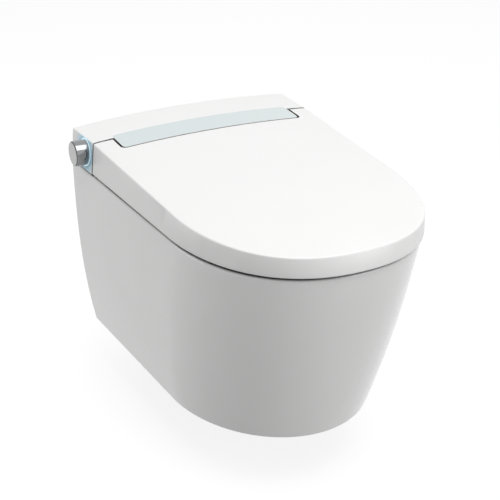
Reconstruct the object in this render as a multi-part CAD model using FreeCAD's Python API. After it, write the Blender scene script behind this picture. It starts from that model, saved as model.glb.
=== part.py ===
import FreeCAD, Part
import math
import os

# Wall-hung bidet toilet in millimetres. The wall is the plane y = 0, the front looks to -y, +z is up,
# and the origin lies midway between the two wall bolts. "Depth" is a distance from the wall.

# Outline of lid and cover at their lower edge, and the crowned top that they share
LENGTH = 570.0
REAR_WIDTH = 389.6
SIDE_TAPER = 9.8
FRONT_LENGTH = 233.5
LID_ROUNDNESS = 2.25
TOP_ROUNDNESS = 2.44
DRAFT = 5.0
DRAFT_RUN = 2.0
TOP_WALL = 54.5
TOP_SEAM = 53.9
TOP_FRONT = 31.8
CROWN = 9.6
FRONT_CROWN = 0.6
CROWN_SPAN = 384.0
EDGE_ROUND = 2.5

# Ceramic pan: rim and base outlines, walls, well for the washing unit
RIM_HEIGHT = 91.0
PAN_HEIGHT = 295.0
RIM_REAR_INSET = 1.55
RIM_SIDE_INSET = 3.0
RIM_FRONT_INSET = 7.6
RIM_FRONT_LENGTH = 218.4
RIM_ROUNDNESS = 2.28
BASE_REAR_TUCK = 24.05
BASE_SIDE_TUCK = 23.6
BASE_FRONT_TUCK = 81.2
BASE_FRONT_LENGTH = 195.8
BASE_ROUNDNESS = 2.0
SIDE_BULGE = 2.6
DEPTH_BULGE = 0.7
FRONT_BULGE = 1.24
RIM_ROUND = 5.0
PAN_WALL = 11.0
PAN_FLOOR = 10.0
REAR_PLATE = 14.0
WELL_DEPTH = 22.0
WELL_SIDE = 43.25
WELL_LENGTH = 128.0
SHELF = 12.0
CHANNEL_INSET = 50.0
WINDOW_SIDE = 63.25
WINDOW_DROP = 40.0

# Bowl, trap, waste outlet, flush inlet and wall bolts
BOWL_FRONT_LAND = 38.4
BOWL_SIDE_LAND = 50.0
BOWL_REAR = 150.0
BOWL_DEPTH = 260.0
SUMP_SHIFT = 73.0
BOWL_depth_shares = (0.0, 0.29, 0.60, 0.83, 1.0)
BOWL_length_shares = (1.0, 0.88, 0.615, 0.353, 0.235)
BOWL_width_shares = (1.0, 0.91, 0.644, 0.424, 0.318)
BOWL_shift_shares = (0.0, 0.10, 0.51, 0.89, 1.0)
BOWL_WALL = 11.0
TRAP_BORE = 66.0
TRAP_WALL = 9.0
DIP_DROP = 156.0
DIP_DEPTH = 205.0
WEIR_DROP = 36.0
WEIR_DEPTH = 150.0
OUTLET_DROP = 100.0
OUTLET_RUN = 78.0
OUTLET_OUTER = 102.0
OUTLET_BORE = 90.0
HORN_LENGTH = 55.0
FLUSH_RISE = 35.0
FLUSH_BORE = 55.0
FLUSH_SOCKET = 50.0
FLUSH_PORT = 44.0
FLUSH_WALL = 8.5
BOLT_SPACING = 180.0
BOLT_HOLE = 13.0
SLEEVE_WALL = 2.5
SLEEVE_FLANGE = 26.0
SLEEVE_HEAD = 3.0

# Seams, hinge axis and running clearances
LID_GAP = 4.0
SEAM_DEPTH = 84.0
SEAM = 4.0
WALL_GAP = 3.0
HINGE_RISE = 46.0
HINGE_SETBACK = 12.0
SHAFT = 5.0
RUNNING = 0.05
CLEAR = 0.3
SWEEP_CLEAR = 0.8
OVERRUN = 1.0

# Rear cover with its tongue, and the glass panel on it
COVER_WALL = 3.0
TONGUE_DEPTH = 126.0
TONGUE_CORNER = 6.5
GLASS = 2.5
PANEL_MARGIN = 0.5
PANEL_REAR = 74.0
PORT_INSET = 60.5
PORT_RISE = 22.5
SHIELD_INSET = 9.0
SHIELD_RISE = 32.0
BOSS = 10.0
BOSS_INSET = 12.0
BOSS_REAR = 28.0
BOSS_FRONT = 114.0
BOARD_BOSS = 6.0

# Base plate of the washing unit, its gasket and fasteners
PLATE = 4.0
PLATE_GAP = 4.0
GASKET = 3.0
GASKET_WIDTH = 8.0
BASE_BOLT = 8.0
BASE_BOLT_SPACING = 96.0
BASE_BOLT_DEPTH = 112.0
BASE_BOLT_HEAD = 14.0
BASE_BOLT_HEAD_HEIGHT = 5.0
SCREW = 3.6
SCREW_HEAD = 8.0
SCREW_HEAD_HEIGHT = 2.2
SCREW_LENGTH = 18.0

# Lid
LID_SKIN = 3.0
LID_WALL = 3.5
NOTCH_GAP = 2.5
NOTCH_END_GAP = 4.0
LUG = 12.0
LUG_WIDTH = 10.0
LUG_SIDE_GAP = 4.3
BUMPER = 12.0
LID_BUMPER_INSETS = ((125.0, 40.0), (45.0, 150.0))

# Seat ring
SEAT_GAP = 5.0
SEAT_INSET = 11.0
SEAT_DRAFT = 4.0
SEAT_REAR = 131.0
SEAT_FRONT_HEIGHT = 16.0
SEAT_REAR_HEIGHT = 27.0
SEAT_SKIN = 4.0
SEAT_BASE = 3.0
SEAT_FOIL = 0.6
SEAT_ROUND = 5.0
SEAT_FRONT_BAR = 69.0
SEAT_SIDE_BAR = 66.0
SEAT_REAR_BAR = 59.0
EYE = 11.0
ARM_WIDTH = 10.0
ARM_GAP = 2.0
TONGUE_END_GAP = 5.5
BUSH = 7.0
RECESS_LENGTH = 30.0
RECESS_RISE = 24.0
SEAT_BUMPER = 14.0
SEAT_BUMPER_INSETS = ((30.0, 320.0), (60.0, 100.0))

# Soft-close dampers in the ends of the tongue
DAMPER = 9.0
DAMPER_LENGTH = 45.0
DAMPER_BORE = 38.0
SHAFT_IN_DAMPER = 36.0

# Knob on the left side, its light ring and encoder
KNOB = 40.0
KNOB_DEPTH = 55.0
KNOB_RISE = 31.0
KNOB_PROUD = 20.5
KNOB_PUSH = 1.5
KNOB_CHAMFER = 1.6
KNOB_WALL = 2.0
KNOB_HUB = 12.0
POCKET_DEPTH = 5.0
RING_GAP = 0.5
RING_WIDTH = 1.6
RING_PROUD = 0.5
ENCODER = 26.0
ENCODER_LENGTH = 20.0
ENCODER_FLOOR = 3.0
KNOB_BUSH = 10.0
KNOB_BUSH_END = 4.0
KNOB_SHAFT_END = 2.0

# Washing nozzle with its rack, pinion, guide and motor
NOZZLE_PITCH = 20.0
NOZZLE = 14.0
NOZZLE_BORE = 9.0
NOZZLE_LENGTH = 112.0
NOZZLE_RISE = 1.0
NOZZLE_SETBACK = 2.0
TIP_LENGTH = 8.0
TIP_PLUG = 6.0
TIP_ROUND = 3.0
SPRAY_HOLE = 1.6
SPRAY_COUNT = 3
SPRAY_PITCH = 1.9
MODULE = 1.2
PINION_TEETH = 16
ADDENDUM_share = 0.8
DEDENDUM_share = 1.1
TOOTH_TIP_share = 0.2
TOOTH_ROOT_share = 0.52
RACK_WIDTH = 8.0
RACK_RISE = 10.0
RACK_START = 16.0
PINION_PLACE = 32.0
PINION_WIDTH = 7.0
PINION_SHAFT = 5.0
GUIDE_GAP = 1.3
GUIDE_WALL = 3.0
GUIDE_START = 8.0
GUIDE_END = 106.0
GUIDE_LIP = 8.0
GUIDE_EAR = 26.0
MOTOR = 24.0
MOTOR_LENGTH = 16.0
MOTOR_GRIP = 8.0

# Warm-air dryer: fan drum, motor, impeller, duct and flap
FAN_SIDE = 50.0
FAN_DEPTH = 54.0
FAN_DRUM = 64.0
FAN_WALL = 2.0
FAN_MOTOR = 28.0
FAN_MOTOR_HEIGHT = 8.0
FAN_HEIGHT = 30.0
FAN_INLET = 30.0
IMPELLER = 54.0
IMPELLER_HUB = 14.0
IMPELLER_HEIGHT = 14.0
BLADE = 1.5
BLADE_COUNT = 12
FAN_SHAFT = 4.0
FAN_GAP = 2.0
DUCT_SHIFT = 38.0
DUCT_WIDTH = 24.0
DUCT_HEIGHT = 18.0
FLAP = 1.5
FLAP_PIN = 2.4
FLAP_EAR = 6.0
FLAP_EAR_WALL = 2.0

# Water side and electronics on the base plate; a "side" is a distance in from the side of well or cover
UNIT_SIDE = 22.0
HEATER_MIDDLE_GAP = 62.0
HEATER_FRONT = 118.0
HEATER_REAR = 70.0
HEATER_HEIGHT = 44.0
VALVE_WIDTH = 32.0
VALVE_FRONT = 62.0
VALVE_REAR = 28.0
VALVE_HEIGHT = 44.0
FILTER_SIDE = 24.0
FILTER_WIDTH = 20.0
FILTER_FRONT = 118.0
FILTER_REAR = 92.0
FILTER_HEIGHT = 30.0
PUMP_FOOT = 22.0
PUMP_FOOT_FRONT = 74.0
PUMP_FOOT_REAR = 30.0
PUMP_FOOT_HEIGHT = 6.0
BOX_ROUND = 4.0
PUMP = 26.0
PUMP_X = -35.0
PUMP_RISE = 14.0
PUMP_FRONT = 80.0
PUMP_REAR = 24.0
INLET_SIDE = 39.8
INLET_RISE = 17.0
INLET_OUTER = 22.0
INLET_BORE = 18.6
INLET_THREAD = 14.0
INLET_LENGTH = 32.0
INLET_FLANGE = 28.0
INLET_FLANGE_WALL = 4.0
HOSE = 10.0
HOSE_BORE = 6.0
HOSE_BEND = 16.0
VALVE_PORT_DEPTH = 54.0
HEATER_PORT_DEPTH = 100.0
BOARD = 1.6
BOARD_LEFT = 20.0
BOARD_SIDE = 10.0
BOARD_HEIGHT = 54.0
CHIP_PLACES_share = ((0.12, 0.3), (0.28, 0.7), (0.84, 0.45))
CHIP = 16.0
CHIP_HEIGHT = 5.0
DISPLAY_INSET = 82.5
DISPLAY_LENGTH = 26.0
DISPLAY_RISE = 46.0
DISPLAY_FRONT = 120.0
GLAND = 12.0
GLAND_FLANGE = 17.0
GLAND_BORE = 7.0
GLAND_LENGTH = 10.0

# Counts for curves, and how near to square two faces count as upright and level
CURVE_STEPS = 24
SHARP_share = 0.1
PAN_STEPS = 5
RIM_STEPS = 4

V = FreeCAD.Vector
X = V(1, 0, 0)
Y = V(0, 1, 0)
Z = V(0, 0, 1)

# Heights, widths and places that several pieces share
SIDE_WIDTH = REAR_WIDTH - 2 * SIDE_TAPER
SIDE_DEPTH = LENGTH - FRONT_LENGTH
RIM_REAR_WIDTH = REAR_WIDTH - 2 * RIM_REAR_INSET
RIM_SIDE_WIDTH = SIDE_WIDTH - 2 * RIM_SIDE_INSET
RIM_LENGTH = LENGTH - RIM_FRONT_INSET
BASE_LENGTH = RIM_LENGTH - BASE_FRONT_TUCK
WELL_WIDTH = RIM_REAR_WIDTH - 2 * WELL_SIDE
BOWL_WIDTH = RIM_SIDE_WIDTH - 2 * BOWL_SIDE_LAND
BOWL_LENGTH = RIM_LENGTH - BOWL_FRONT_LAND - BOWL_REAR
BOWL_CENTRE = BOWL_REAR + BOWL_LENGTH / 2
RIM = RIM_HEIGHT
DECK = RIM - WELL_DEPTH
LOW = RIM + LID_GAP
BASE = RIM - PAN_HEIGHT
PLATE_LOW = DECK + GASKET
PLATE_TOP = PLATE_LOW + PLATE
TOP_SLOPE = (TOP_SEAM - TOP_FRONT) / (LENGTH - SEAM_DEPTH)
LID_REAR = SEAM_DEPTH + SEAM
HINGE_DEPTH = LID_REAR + HINGE_SETBACK
HINGE_Z = RIM + HINGE_RISE
NOTCH_DEPTH = TONGUE_DEPTH + NOTCH_GAP
SEAT_LOW = RIM + SEAT_GAP
PORT_TOP = RIM + PORT_RISE
SHIELD_TOP = RIM + SHIELD_RISE
KNOB_Z = RIM + KNOB_RISE
UNIT_LEFT = UNIT_SIDE - WELL_WIDTH / 2
VALVE_RIGHT = UNIT_LEFT + VALVE_WIDTH
FILTER_RIGHT = WELL_WIDTH / 2 - FILTER_SIDE
FAN_X = WELL_WIDTH / 2 - FAN_SIDE
DUCT_LEFT = FAN_X - DUCT_SHIFT
BOARD_RIGHT = WELL_WIDTH / 2 - BOARD_SIDE
INLET_X = INLET_SIDE - REAR_WIDTH / 2
GLAND_X = REAR_WIDTH / 2 - INLET_SIDE


def box(left, right, far, near, low, high):
    """Block between two x, two depths from the wall (far first) and two heights."""
    return Part.makeBox(right - left, far - near, high - low, V(left, -far, low))


def rod(diameter, length, start, direction):
    """Cylinder of a diameter from a start point along a direction."""
    return Part.makeCylinder(diameter / 2, length, start, direction)


def tube(outer, inner, length, start, direction):
    """Straight pipe."""
    return rod(outer, length, start, direction).cut(rod(inner, length, start, direction))


def line(first, second):
    """Straight edge between two points."""
    return Part.LineSegment(first, second).toShape()


def prism(points, direction):
    """Solid from a closed polygon moved along a direction."""
    return Part.Face(Part.makePolygon(points + points[:1])).extrude(direction)


def joined(shapes):
    """One solid from overlapping shapes."""
    return shapes[0].fuse(shapes[1:]).removeSplitter()


def rounded_box(left, right, far, near, low, high, radius):
    """Block with its four upright edges rounded."""
    block = box(left, right, far, near, low, high)
    upright = [e for e in block.Edges if abs(e.tangentAt(e.FirstParameter).z) > 0.9]
    return block.makeFillet(radius, upright)


def d_wire(rear_half, side_half, side_depth, front_depth, roundness, height, slope=0.0, rear_depth=0.0):
    """Outline with a straight rear, nearly straight sides and a superellipse front; its plane may slope."""
    def at(x, depth):
        return V(x, -depth, height - slope * depth)

    points = []
    for step in range(CURVE_STEPS + 1):
        angle = math.pi * step / CURVE_STEPS
        across = abs(math.cos(angle)) ** (2 / roundness)
        along = abs(math.sin(angle)) ** (2 / roundness)
        x = -side_half * math.copysign(across, math.cos(angle))
        points.append(at(x, side_depth + (front_depth - side_depth) * along))
    left = at(-rear_half, rear_depth)
    right = at(rear_half, rear_depth)
    front = Part.BSplineCurve()
    front.interpolate(Points=points, InitialTangent=points[0] - left, FinalTangent=right - points[-1])
    return Part.Wire([line(left, points[0]), front.toShape(), line(points[-1], right), line(right, left)])


def body_loft(inset):
    """Drafted sides of lid and cover from their lower edge up past the top, drawn in by an inset."""
    rear_half = REAR_WIDTH / 2 - inset
    side_half = SIDE_WIDTH / 2 - inset
    length = LENGTH - inset
    drawn_in = DRAFT * DRAFT_RUN
    top_roundness = LID_ROUNDNESS + DRAFT_RUN * (TOP_ROUNDNESS - LID_ROUNDNESS)
    rear_rise = TOP_SEAM + TOP_SLOPE * SEAM_DEPTH - LID_GAP
    lower = d_wire(rear_half, side_half, SIDE_DEPTH, length, LID_ROUNDNESS, LOW)
    upper = d_wire(rear_half - drawn_in, side_half - drawn_in, SIDE_DEPTH, length - drawn_in, top_roundness,
                   LOW + DRAFT_RUN * rear_rise, DRAFT_RUN * TOP_SLOPE)
    return Part.makeLoft([lower, upper], True, False)


def under_top(drop):
    """Everything below the crowned top surface, lowered by a drop."""
    reach = REAR_WIDTH / 2 + OVERRUN
    span = CROWN_SPAN / 2
    wires = []
    for depth, rise, crown in ((-OVERRUN, TOP_WALL, CROWN), (SEAM_DEPTH, TOP_SEAM, CROWN),
                               (LENGTH + OVERRUN, TOP_FRONT - TOP_SLOPE * OVERRUN, FRONT_CROWN)):
        top = RIM + rise - drop
        arch = Part.Arc(V(-span, -depth, top), V(0, -depth, top + crown), V(span, -depth, top)).toShape()
        corners = [V(span, -depth, top), V(reach, -depth, top), V(reach, -depth, DECK),
                   V(-reach, -depth, DECK), V(-reach, -depth, top), V(-span, -depth, top)]
        sides = [line(a, b) for a, b in zip(corners[:-1], corners[1:])]
        wires.append(Part.Wire([arch] + sides))
    return Part.makeLoft(wires, True, True)


def top_height(x, depth):
    """Height of the crowned top on the lid's side of the seam."""
    fade = (depth - SEAM_DEPTH) / (LENGTH - SEAM_DEPTH)
    crown = CROWN + (FRONT_CROWN - CROWN) * fade
    return RIM + TOP_SEAM - TOP_SLOPE * (depth - SEAM_DEPTH) + crown * (1 - (2 * x / CROWN_SPAN) ** 2)


def side_half(depth, height):
    """Half width of the drafted body at a depth and a height, on its straight side."""
    taper = (REAR_WIDTH - SIDE_WIDTH) / 2 / SIDE_DEPTH
    rise = TOP_SEAM + TOP_SLOPE * (SEAM_DEPTH - depth) - LID_GAP
    return REAR_WIDTH / 2 - taper * depth - DRAFT * (height - LOW) / rise


# Stations along the hinge axis, from the lid's side wall inwards
LUG_OUTER = side_half(HINGE_DEPTH, HINGE_Z) - LID_WALL - LUG_SIDE_GAP
LUG_INNER = LUG_OUTER - LUG_WIDTH
ARM_OUTER = LUG_INNER - ARM_GAP
ARM_INNER = ARM_OUTER - ARM_WIDTH
TONGUE_WIDTH = 2 * (ARM_INNER - TONGUE_END_GAP)
NOTCH_WIDTH = TONGUE_WIDTH + 2 * NOTCH_END_GAP
PANEL_WIDTH = TONGUE_WIDTH - 2 * PANEL_MARGIN
PORT_WIDTH = TONGUE_WIDTH - 2 * PORT_INSET
SHIELD_WIDTH = TONGUE_WIDTH - 2 * SHIELD_INSET
DISPLAY_WIDTH = TONGUE_WIDTH - 2 * DISPLAY_INSET


def top_edges(shape):
    """Edges where the crowned top meets the drafted sides."""
    found = []
    for edge in shape.Edges:
        faces = shape.ancestorsOfType(edge, Part.Face)
        normals = sorted((f.normalAt(*f.Surface.parameter(f.CenterOfMass)) for f in faces), key=lambda n: n.z)
        on_cut = len(normals) < 2 or abs(normals[0].x) + abs(normals[0].z) < SHARP_share
        if not on_cut and normals[1].z > 1 - SHARP_share and abs(normals[0].z) < 1 - SHARP_share:
            found.append(edge)
    return found


# Ceramic pan
def pan_section(height, inset=0.0, rear_depth=0.0):
    """Outline of the pan at a height, drawn in by an inset."""
    drop = (RIM - height) / PAN_HEIGHT

    def taper(at_rim, at_base, power):
        return at_rim + (at_base - at_rim) * drop ** power

    return d_wire(RIM_REAR_WIDTH / 2 - taper(0, BASE_REAR_TUCK, SIDE_BULGE) - inset,
                  RIM_SIDE_WIDTH / 2 - taper(0, BASE_SIDE_TUCK, SIDE_BULGE) - inset,
                  taper(RIM_LENGTH - RIM_FRONT_LENGTH, BASE_LENGTH - BASE_FRONT_LENGTH, DEPTH_BULGE),
                  taper(RIM_LENGTH, BASE_LENGTH, FRONT_BULGE) - inset,
                  taper(RIM_ROUNDNESS, BASE_ROUNDNESS, 1), height, 0.0, rear_depth)


def pan_loft(high, low, inset, rear_depth):
    """Solid through pan outlines between two heights."""
    heights = [high + (low - high) * step / PAN_STEPS for step in range(PAN_STEPS + 1)]
    return Part.makeLoft([pan_section(h, inset, rear_depth) for h in heights], True, False)


def oval(centre, length, width):
    """Level ellipse, begun at its front end whichever way it is longer."""
    if length >= width:
        return Part.Ellipse(centre - Y * (length / 2), centre + X * (width / 2), centre).toShape()
    curve = Part.Ellipse(centre + X * (width / 2), centre + Y * (length / 2), centre)
    return curve.toShape(-math.pi / 2, 3 * math.pi / 2)


def bowl_loft(growth):
    """Bowl from above the rim to the sump, grown all round for its outer side."""
    wires = []
    places = zip(BOWL_depth_shares, BOWL_length_shares, BOWL_width_shares, BOWL_shift_shares)
    for depth_share, length_share, width_share, shift_share in places:
        centre = V(0, SUMP_SHIFT * shift_share - BOWL_CENTRE, RIM - (BOWL_DEPTH + growth) * depth_share)
        length = BOWL_LENGTH * length_share + 2 * growth
        width = BOWL_WIDTH * width_share + 2 * growth
        wires.append(Part.Wire([oval(centre, length, width)]))
    return Part.makeLoft(wires, True, False)


def trap_pipe(diameter, end):
    """Run of the trap from the sump, up over the weir and down to the outlet."""
    points = [V(0, SUMP_SHIFT - BOWL_CENTRE, -DIP_DROP), V(0, -DIP_DEPTH, -DIP_DROP),
              V(0, -WEIR_DEPTH, -WEIR_DROP), V(0, -OUTLET_RUN, -OUTLET_DROP), V(0, end, -OUTLET_DROP)]
    runs = [rod(diameter, (b - a).Length, a, b - a) for a, b in zip(points[:-1], points[1:])]
    knees = [Part.makeSphere(diameter / 2, p) for p in points[:-1]]
    return joined(runs + knees)


def rim_round():
    """Quarter-round that closes the rim towards its top."""
    wires = []
    for step in range(RIM_STEPS + 1):
        angle = math.pi / 2 * step / RIM_STEPS
        height = RIM - RIM_ROUND * (1 - math.sin(angle))
        wires.append(pan_section(height, RIM_ROUND * (1 - math.cos(angle)), -OVERRUN))
    return Part.makeLoft(wires, True, False)


def ceramic_pan():
    body = joined([pan_loft(RIM - RIM_ROUND, BASE, 0.0, -OVERRUN), rim_round()])
    body = body.common(box(-REAR_WIDTH / 2, REAR_WIDTH / 2, LENGTH, 0, BASE, RIM))
    outlet = V(0, 0, -OUTLET_DROP)
    inlet = V(0, 0, FLUSH_RISE)
    horn = rod(OUTLET_OUTER, HORN_LENGTH, outlet, -Y)
    flush_run = BOWL_REAR + PAN_WALL
    channel_half = WELL_WIDTH / 2 - CHANNEL_INSET
    hollow = pan_loft(DECK - SHELF, BASE + PAN_FLOOR, PAN_WALL, REAR_PLATE)
    hollow = hollow.cut([bowl_loft(BOWL_WALL), trap_pipe(TRAP_BORE + 2 * TRAP_WALL, 0), horn,
                         rod(FLUSH_BORE + 2 * FLUSH_WALL, flush_run, inlet, -Y)])
    window_half = RIM_REAR_WIDTH / 2 - WINDOW_SIDE
    window = box(-window_half, window_half, REAR_PLATE + OVERRUN, -OVERRUN, BASE + PAN_FLOOR, -WINDOW_DROP)
    window = window.cut(horn)
    body = body.cut(hollow).cut(window)
    bores = [bowl_loft(0), trap_pipe(TRAP_BORE, 0),
             rod(OUTLET_BORE, HORN_LENGTH - TRAP_WALL, outlet, -Y),
             rod(FLUSH_BORE, FLUSH_SOCKET, inlet, -Y),
             rod(FLUSH_PORT, flush_run + PAN_WALL, inlet, -Y),
             box(-WELL_WIDTH / 2, WELL_WIDTH / 2, WELL_LENGTH, REAR_PLATE, DECK, RIM + OVERRUN),
             box(-channel_half, channel_half, flush_run + PAN_WALL, WELL_LENGTH - OVERRUN,
                 DECK, RIM + OVERRUN)]
    for side in (-1, 1):
        wall_bolt = V(side * BOLT_SPACING / 2, 0, 0)
        base_bolt = V(side * BASE_BOLT_SPACING / 2, -BASE_BOLT_DEPTH, DECK)
        bores.append(rod(BOLT_HOLE + 2 * SLEEVE_WALL + 2 * RUNNING, REAR_PLATE, wall_bolt, -Y))
        bores.append(rod(BASE_BOLT + 2 * CLEAR, SHELF, base_bolt, -Z))
    return body.cut(bores)


def bolt_sleeves():
    sleeves = []
    for side in (-1, 1):
        start = V(side * BOLT_SPACING / 2, 0, 0)
        flange = rod(SLEEVE_FLANGE, SLEEVE_HEAD, start - Y * REAR_PLATE, -Y)
        barrel = rod(BOLT_HOLE + 2 * SLEEVE_WALL, REAR_PLATE, start, -Y)
        sleeves.append(joined([barrel, flange]).cut(rod(BOLT_HOLE, REAR_PLATE + SLEEVE_HEAD, start, -Y)))
    return Part.makeCompound(sleeves)


# Base plate of the washing unit
def plate_block(inset, low, high):
    """Outline of the base plate, drawn in by an inset, between two heights."""
    half = WELL_WIDTH / 2 - PLATE_GAP - inset
    return box(-half, half, WELL_LENGTH - PLATE_GAP - inset, REAR_PLATE + PLATE_GAP + inset, low, high)


def boss_places():
    """Feet of the four bosses that hold the cover down."""
    half = WELL_WIDTH / 2 - BOSS_INSET
    return [V(x, -depth, PLATE_TOP) for x in (-half, half) for depth in (BOSS_REAR, BOSS_FRONT)]


def base_bolt_places():
    return [V(side * BASE_BOLT_SPACING / 2, -BASE_BOLT_DEPTH, PLATE_TOP) for side in (-1, 1)]


def base_plate():
    holes = [rod(SCREW + 2 * CLEAR, PLATE, place, -Z) for place in boss_places()]
    holes += [rod(BASE_BOLT + 2 * CLEAR, PLATE, place, -Z) for place in base_bolt_places()]
    return plate_block(0, PLATE_LOW, PLATE_TOP).cut(holes)


def base_gasket():
    ring = plate_block(0, DECK, PLATE_LOW).cut(plate_block(GASKET_WIDTH, DECK, PLATE_LOW))
    head_hole = SCREW_HEAD + 2 * SWEEP_CLEAR
    return ring.cut([rod(head_hole, PLATE + GASKET, place, -Z) for place in boss_places()])


def base_bolts():
    bolts = []
    for place in base_bolt_places():
        shank = rod(BASE_BOLT, PLATE + GASKET + SHELF + BASE_BOLT, place, -Z)
        corners = [place + V(math.cos(math.pi * i / 3), math.sin(math.pi * i / 3), 0) * (BASE_BOLT_HEAD / 2)
                   for i in range(6)]
        bolts.append(joined([shank, prism(corners, Z * BASE_BOLT_HEAD_HEIGHT)]))
    return Part.makeCompound(bolts)


def cover_screws():
    screws = []
    for place in boss_places():
        under = place - Z * PLATE
        shank = rod(SCREW, SCREW_LENGTH, under, Z)
        screws.append(joined([shank, rod(SCREW_HEAD, SCREW_HEAD_HEIGHT, under, -Z)]))
    return Part.makeCompound(screws)


# Rear cover, glass panel and display
def tongue_block(low, high, inset=0.0):
    """Plan of the tongue that carries the glass, with rounded front corners."""
    half = TONGUE_WIDTH / 2 - inset
    near = SEAM_DEPTH - TONGUE_CORNER * 2
    return rounded_box(-half, half, TONGUE_DEPTH - inset, near, low, high, TONGUE_CORNER - inset)


def front_block(width, high, overrun=0.0):
    """Rectangle of the tongue's front wall, from its lower edge up."""
    far = TONGUE_DEPTH + overrun
    near = TONGUE_DEPTH - COVER_WALL - overrun
    return box(-width / 2, width / 2, far, near, LOW - overrun, high)


def panel_block(low, high):
    """Plan of the glass panel."""
    half = PANEL_WIDTH / 2
    front = TONGUE_DEPTH - PANEL_MARGIN
    return rounded_box(-half, half, front, PANEL_REAR, low, high, TONGUE_CORNER - PANEL_MARGIN)


def knob_axis(half):
    """Point on the knob's axis, a distance left of the middle."""
    return V(-half, -KNOB_DEPTH, KNOB_Z)


KNOB_SIDE = side_half(KNOB_DEPTH, KNOB_Z)
POCKET_FLOOR = KNOB_SIDE - POCKET_DEPTH
RING_BORE = KNOB + 2 * RING_GAP
RING_OUTER = RING_BORE + 2 * RING_WIDTH


def ring_zone():
    """Space that the light ring takes in the side of the cover."""
    return tube(RING_OUTER, RING_BORE, POCKET_DEPTH * 3, knob_axis(POCKET_FLOOR), -X)


def rear_cover():
    high = RIM + TOP_WALL + CROWN + OVERRUN
    shell = body_loft(0).common(under_top(0))
    reach = REAR_WIDTH / 2
    shell = shell.common(box(-reach, reach, SEAM_DEPTH, WALL_GAP, LOW, high))
    shell = shell.makeFillet(EDGE_ROUND, top_edges(shell))
    tongue = tongue_block(LOW, high).common(under_top(0))
    inner = body_loft(COVER_WALL).common(under_top(COVER_WALL))
    inner = inner.common(box(-reach, reach, SEAM_DEPTH - COVER_WALL, WALL_GAP + COVER_WALL, LOW, high))
    bed_half = PANEL_WIDTH / 2 + COVER_WALL
    bed = box(-bed_half, bed_half, SEAM_DEPTH, PANEL_REAR - COVER_WALL, LOW, high)
    bed = bed.cut(under_top(GLASS + COVER_WALL))
    tongue_inner = tongue_block(LOW, high, COVER_WALL).common(under_top(GLASS + COVER_WALL))
    cavity = inner.cut(bed).fuse(tongue_inner)
    cover = shell.fuse(tongue).cut(cavity)
    cover = cover.cut(panel_block(LOW, high).cut(under_top(GLASS)))
    cover = cover.cut(front_block(SHIELD_WIDTH, SHIELD_TOP, OVERRUN))
    # bosses for the cover screws and for the display board
    bosses = []
    for place in boss_places():
        skin_drop = COVER_WALL / 2 + GLASS * (place.y < -SEAM_DEPTH)
        bosses.append(rod(BOSS, high - PLATE_TOP, place, Z).common(under_top(skin_drop)))
    for x in (-DISPLAY_WIDTH / 2 + BOARD_BOSS, DISPLAY_WIDTH / 2 - BOARD_BOSS):
        foot = V(x, DISPLAY_LENGTH / 2 - DISPLAY_FRONT, RIM + DISPLAY_RISE + BOARD)
        bosses.append(rod(BOARD_BOSS, high - foot.z, foot, Z).common(under_top(COVER_WALL / 2 + GLASS)))
    # thick disc behind the knob, with its pocket
    disc = rod(RING_OUTER + 2 * COVER_WALL, POCKET_DEPTH * 3, knob_axis(POCKET_FLOOR - COVER_WALL), -X)
    disc = disc.common(body_loft(COVER_WALL / 2)).common(under_top(COVER_WALL / 2))
    cover = cover.fuse(bosses + [disc]).removeSplitter()
    cuts = [rod(RING_BORE, POCKET_DEPTH * 3, knob_axis(POCKET_FLOOR), -X), ring_zone(),
            rod(KNOB_BUSH + 2 * CLEAR, POCKET_DEPTH * 3, knob_axis(POCKET_FLOOR - POCKET_DEPTH), -X)]
    cuts += [rod(SCREW + 2 * RUNNING, SCREW_LENGTH, place, Z) for place in boss_places()]
    for side in (-1, 1):
        end = V(side * TONGUE_WIDTH / 2, -HINGE_DEPTH, HINGE_Z)
        cuts.append(rod(DAMPER + 2 * RUNNING, COVER_WALL * 2, end, X * -side))
    cuts.append(rod(INLET_OUTER + 2 * RUNNING, COVER_WALL + WALL_GAP, V(INLET_X, 0, LOW + INLET_RISE), -Y))
    cuts.append(rod(GLAND + 2 * RUNNING, COVER_WALL + WALL_GAP, V(GLAND_X, 0, LOW + INLET_RISE), -Y))
    return cover.cut(cuts)


def nozzle_shield():
    """Plate that closes the front of the tongue, with the port for the nozzle and the warm air."""
    return front_block(SHIELD_WIDTH, SHIELD_TOP).cut(front_block(PORT_WIDTH, PORT_TOP, OVERRUN))


def glass_panel():
    high = RIM + TOP_WALL + CROWN + OVERRUN
    return panel_block(LOW, high).common(under_top(0)).cut(under_top(GLASS))


def display_board():
    half = DISPLAY_WIDTH / 2
    low = RIM + DISPLAY_RISE
    return box(-half, half, DISPLAY_FRONT, DISPLAY_FRONT - DISPLAY_LENGTH, low, low + BOARD)


def light_ring():
    return ring_zone().common(body_loft(-RING_PROUD))


def damper(side):
    end = V(side * TONGUE_WIDTH / 2, -HINGE_DEPTH, HINGE_Z)
    bore = rod(SHAFT + 2 * RUNNING, DAMPER_BORE, end, X * -side)
    return rod(DAMPER, DAMPER_LENGTH, end, X * -side).cut(bore)


def hinge_shaft(side):
    start = V(side * (TONGUE_WIDTH / 2 - SHAFT_IN_DAMPER), -HINGE_DEPTH, HINGE_Z)
    return rod(SHAFT, LUG_OUTER - TONGUE_WIDTH / 2 + SHAFT_IN_DAMPER, start, X * side)


def hinge_bush(side, inner, outer):
    start = V(side * inner, -HINGE_DEPTH, HINGE_Z)
    return tube(BUSH, SHAFT + 2 * RUNNING, outer - inner, start, X * side)


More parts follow.
